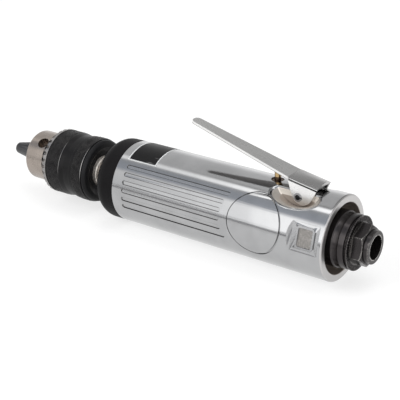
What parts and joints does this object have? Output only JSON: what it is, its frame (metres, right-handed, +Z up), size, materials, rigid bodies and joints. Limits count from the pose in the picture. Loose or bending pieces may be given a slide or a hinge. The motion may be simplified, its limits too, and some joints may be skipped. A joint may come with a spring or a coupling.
{
  "type": "straight air drill",
  "caption": "Straight air drill with a fluted polished housing, lever throttle, keyed jaw chuck at the front, and hex air inlet with rear exhaust.",
  "frame": {"origin": "centre of the air inlet's mouth, on the spindle axis", "axes": "+X along the spindle axis out of the air inlet, with the chuck at -X; +Z up, towards the throttle lever; +Y completes the right-handed frame"},
  "size_m": [0.2127, 0.0408, 0.0595],
  "materials": {
    "polished_aluminium": "polished",
    "label": "bare black label with a pale border",
    "black_oxide": "black oxide",
    "black_coat": "satin black",
    "gear_steel": "ground",
    "motor_iron": "ground",
    "gasket": "fibre",
    "seal_rubber": "matt",
    "screen_steel": "bright",
    "brass": "turned",
    "spring_steel": "bright",
    "spindle_steel": "bright",
    "chuck_nickel": "satin nickel nose, black rear",
    "chuck_black": "black oxide with bright teeth",
    "jaw_steel": "dark hardened",
    "plated_steel": "bright plated",
    "vane_laminate": "laminate"
  },
  "bodies": {
    "housing": {"housing": "polished_aluminium", "label_plate": "label", "clamp_nut": "black_oxide", "ring_gear": "gear_steel", "front_plate": "motor_iron", "cylinder": "motor_iron", "rear_plate": "motor_iron", "cylinder_dowel": "gear_steel", "rear_gasket": "gasket", "spindle_bearing_outer": "gear_steel", "support_bearing_outer": "gear_steel", "bearing_spacer": "gear_steel", "spindle_seal": "seal_rubber", "front_bearing_outer": "gear_steel", "rear_bearing_outer": "gear_steel", "inlet_bushing": "black_oxide", "inlet_oring": "seal_rubber", "inlet_screen": "screen_steel", "exhaust_deflector": "black_coat", "valve_bushing": "brass", "stem_oring": "seal_rubber", "valve_spring": "spring_steel", "valve_plug": "black_oxide", "plug_oring": "seal_rubber", "lever_pin": "spring_steel"},
    "spindle": {"spindle": "spindle_steel", "planet_pins": "gear_steel", "spindle_circlip": "spring_steel", "spindle_bearing_inner": "gear_steel", "spindle_bearing_balls": "gear_steel", "support_bearing_inner": "gear_steel", "support_bearing_balls": "gear_steel", "chuck_body": "chuck_nickel"},
    "rotor": {"rotor": "gear_steel", "vanes": "vane_laminate", "front_bearing_inner": "gear_steel", "front_bearing_balls": "gear_steel", "rear_bearing_inner": "gear_steel", "rear_bearing_balls": "gear_steel"},
    "planet_1": {"planet_gear_1": "gear_steel", "planet_bush_1": "brass"},
    "planet_2": {"planet_gear_2": "gear_steel", "planet_bush_2": "brass"},
    "planet_3": {"planet_gear_3": "gear_steel", "planet_bush_3": "brass"},
    "chuck_sleeve": {"chuck_sleeve": "chuck_black", "chuck_nut": "gear_steel"},
    "jaw_1": {"jaw_1": "jaw_steel"},
    "jaw_2": {"jaw_2": "jaw_steel"},
    "jaw_3": {"jaw_3": "jaw_steel"},
    "lever": {"lever": "plated_steel"},
    "valve": {"valve_stem": "brass", "valve_poppet": "vane_laminate"}
  },
  "joints": [
    {"name": "spindle_spin", "type": "hinge", "parent": "housing", "child": "spindle", "pos_m": [-0.1, 0, 0], "axis": [1, 0, 0], "continuous": true},
    {"name": "rotor_spin", "type": "hinge", "parent": "housing", "child": "rotor", "pos_m": [-0.09, 0, 0], "axis": [1, 0, 0], "continuous": true},
    {"name": "planet_1_spin", "type": "hinge", "parent": "spindle", "child": "planet_1", "pos_m": [-0.118, 0, 0.009], "axis": [1, 0, 0], "continuous": true},
    {"name": "planet_2_spin", "type": "hinge", "parent": "spindle", "child": "planet_2", "pos_m": [-0.118, -0.00779, -0.0045], "axis": [1, 0, 0], "continuous": true},
    {"name": "planet_3_spin", "type": "hinge", "parent": "spindle", "child": "planet_3", "pos_m": [-0.118, 0.00779, -0.0045], "axis": [1, 0, 0], "continuous": true},
    {"name": "chuck_sleeve_turn", "type": "hinge", "parent": "spindle", "child": "chuck_sleeve", "pos_m": [-0.17, 0, 0], "axis": [1, 0, 0], "range_deg": [0, 5544.24]},
    {"name": "jaw_1_slide", "type": "slide", "parent": "spindle", "child": "jaw_1", "axis": [0.9763, 0.0867, 0.1983], "range_m": [0, 0.0231]},
    {"name": "jaw_2_slide", "type": "slide", "parent": "spindle", "child": "jaw_2", "axis": [0.9763, -0.2151, -0.0241], "range_m": [0, 0.0231]},
    {"name": "jaw_3_slide", "type": "slide", "parent": "spindle", "child": "jaw_3", "axis": [0.9763, 0.1284, -0.1742], "range_m": [0, 0.0231]},
    {"name": "lever_pivot", "type": "hinge", "parent": "housing", "child": "lever", "pos_m": [-0.03605, 0, 0.0167], "axis": [0, -1, 0], "range_deg": [0, 15], "stiffness_Nm_per_rad": 1.2, "springref_deg": -11.46},
    {"name": "valve_slide", "type": "slide", "parent": "housing", "child": "valve", "axis": [0, 0, -1], "range_m": [0, 0.0039], "deforming": ["valve_spring"]}
  ],
  "couplings": [
    {"joint": "rotor_spin", "follows": "spindle_spin", "ratio": 5.3333},
    {"joint": "planet_1_spin", "follows": "spindle_spin", "ratio": -2.6},
    {"joint": "planet_2_spin", "follows": "spindle_spin", "ratio": -2.6},
    {"joint": "planet_3_spin", "follows": "spindle_spin", "ratio": -2.6},
    {"joint": "chuck_sleeve_turn", "follows": "jaw_1_slide", "rad_per_m": 4188.8},
    {"joint": "jaw_2_slide", "follows": "jaw_1_slide", "ratio": 1},
    {"joint": "jaw_3_slide", "follows": "jaw_1_slide", "ratio": 1},
    {"joint": "lever_pivot", "follows": "valve_slide", "rad_per_m": 66.956}
  ]
}
